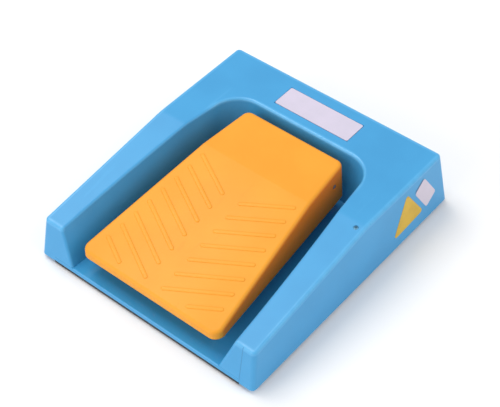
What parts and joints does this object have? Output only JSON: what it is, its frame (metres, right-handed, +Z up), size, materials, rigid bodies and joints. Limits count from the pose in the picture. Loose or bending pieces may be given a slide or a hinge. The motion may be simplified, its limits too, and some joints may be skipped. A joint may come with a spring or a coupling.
{
  "type": "foot switch",
  "caption": "Wedge-shaped wireless foot switch: a low blue housing with two sloped side arms around an open well, in which a wide sprung orange treadle tips down to press a sensing switch.",
  "frame": {"origin": "on the ground under the middle of the housing", "axes": "+X to the right, -Y to the open front where the foot comes in, +Z up"},
  "size_m": [0.16, 0.1844, 0.0424],
  "materials": {
    "blue_plastic": "satin moulded",
    "orange_plastic": "satin moulded",
    "black_steel": "fine texture powder coat",
    "zinc_steel": "zinc plated",
    "bright_steel": "ground",
    "spring_steel": "drawn wire",
    "black_rubber": "matte",
    "white_plate": "smooth printed sheet",
    "white_sticker": "satin film",
    "yellow_sticker": "satin film",
    "light_lens": "clear tinted",
    "natural_nylon": "satin",
    "black_plastic": "satin",
    "red_plastic": "smooth",
    "grey_sheath": "satin",
    "brass_strip": "rolled",
    "green_board": "solder mask",
    "cell_wrap": "shrink wrap"
  },
  "bodies": {
    "base": {"housing": "blue_plastic", "base_plate": "black_steel", "base_screws": "zinc_steel", "rubber_feet": "black_rubber", "label_plate": "white_plate", "side_label": "white_sticker", "side_marker": "yellow_sticker", "status_led": "light_lens", "pivot_bracket": "zinc_steel", "bracket_screws": "zinc_steel", "pivot_pin": "bright_steel", "pin_clips": "spring_steel", "return_spring_left": "spring_steel", "return_spring_right": "spring_steel", "bump_stops": "black_rubber", "rest_stops": "black_rubber", "switch_case": "black_plastic", "switch_terminals": "brass_strip", "switch_screws": "zinc_steel", "switch_lead": "grey_sheath", "lead_grommet": "black_rubber", "circuit_board": "green_board", "board_spacers": "natural_nylon", "board_screws": "zinc_steel", "board_sockets": "natural_nylon", "radio_module": "bright_steel", "antenna": "black_plastic", "led_lead": "grey_sheath", "battery_tray": "black_plastic", "tray_screws": "zinc_steel", "battery_cells": "cell_wrap", "battery_contacts": "spring_steel", "battery_leads": "red_plastic", "battery_door": "black_plastic", "door_screw": "zinc_steel"},
    "pedal": {"pedal": "orange_plastic", "pedal_bushes": "natural_nylon"},
    "plunger": {"switch_plunger": "red_plastic"}
  },
  "joints": [
    {"name": "pedal_hinge", "type": "hinge", "parent": "base", "child": "pedal", "pos_m": [0, 0.034, 0.0313], "axis": [1, 0, 0], "range_deg": [0, 4], "stiffness_Nm_per_rad": 3, "springref_deg": -22.92, "deforming": ["return_spring_left", "return_spring_right"]},
    {"name": "plunger_slide", "type": "slide", "parent": "base", "child": "plunger", "axis": [0, 0, -1], "range_m": [0, 0.0018]}
  ],
  "couplings": [
    {"joint": "plunger_slide", "follows": "pedal_hinge", "m_per_rad": 0.024}
  ]
}
